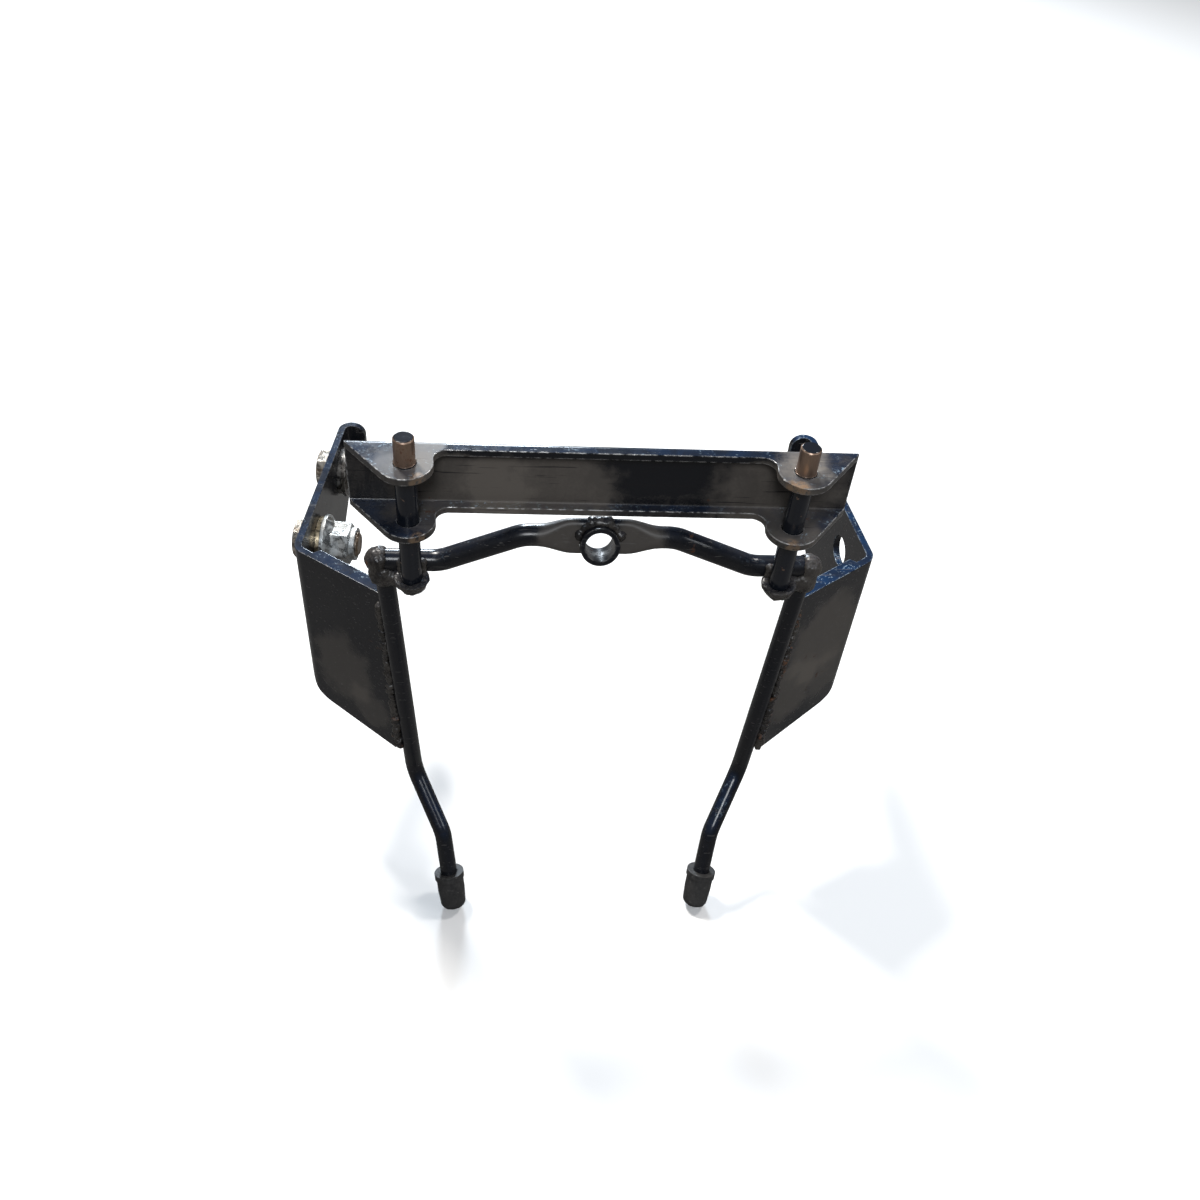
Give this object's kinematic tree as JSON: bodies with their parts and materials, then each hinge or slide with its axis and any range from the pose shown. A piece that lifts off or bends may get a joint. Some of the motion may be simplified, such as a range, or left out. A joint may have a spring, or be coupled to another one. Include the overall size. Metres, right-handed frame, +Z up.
{
  "type": "headlight mounting bracket",
  "caption": "Welded steel headlight bracket: folded cross channel on upright pins, cross tube with a bolt sleeve, bent leg rods with rubber caps and folded side plates.",
  "frame": {"origin": "centre of the bolt sleeve in the cross tube", "axes": "+Z up along the pins, +X towards the plate without fasteners, -Y towards the side that the ears and feet point to"},
  "size_m": [0.2314, 0.149, 0.2303],
  "materials": {
    "black_paint": "glossy, scratched and dusty",
    "painted_weld": "lumpy, dull",
    "bare_steel": "rubbed bare and rusty",
    "zinc": "dull zinc",
    "yellow_zinc": "yellow passivated",
    "cap_rubber": "worn, grey"
  },
  "bodies": {
    "root": {"cross_channel": "black_paint", "left_pin": "bare_steel", "right_pin": "bare_steel", "left_pin_weld": "painted_weld", "right_pin_weld": "painted_weld", "cross_tube": "black_paint", "centre_sleeve": "black_paint", "sleeve_weld": "painted_weld", "left_leg_rod": "black_paint", "right_leg_rod": "black_paint", "left_corner_weld": "painted_weld", "right_corner_weld": "painted_weld", "left_side_plate": "black_paint", "right_side_plate": "black_paint", "left_plate_weld": "painted_weld", "right_plate_weld": "painted_weld", "left_foot_cap": "cap_rubber", "right_foot_cap": "cap_rubber", "front_bolt": "zinc", "front_washer": "yellow_zinc", "front_flange_nut": "zinc", "rear_bolt": "zinc", "rear_washer": "zinc", "rear_flange_nut": "zinc"}
  },
  "joints": []
}
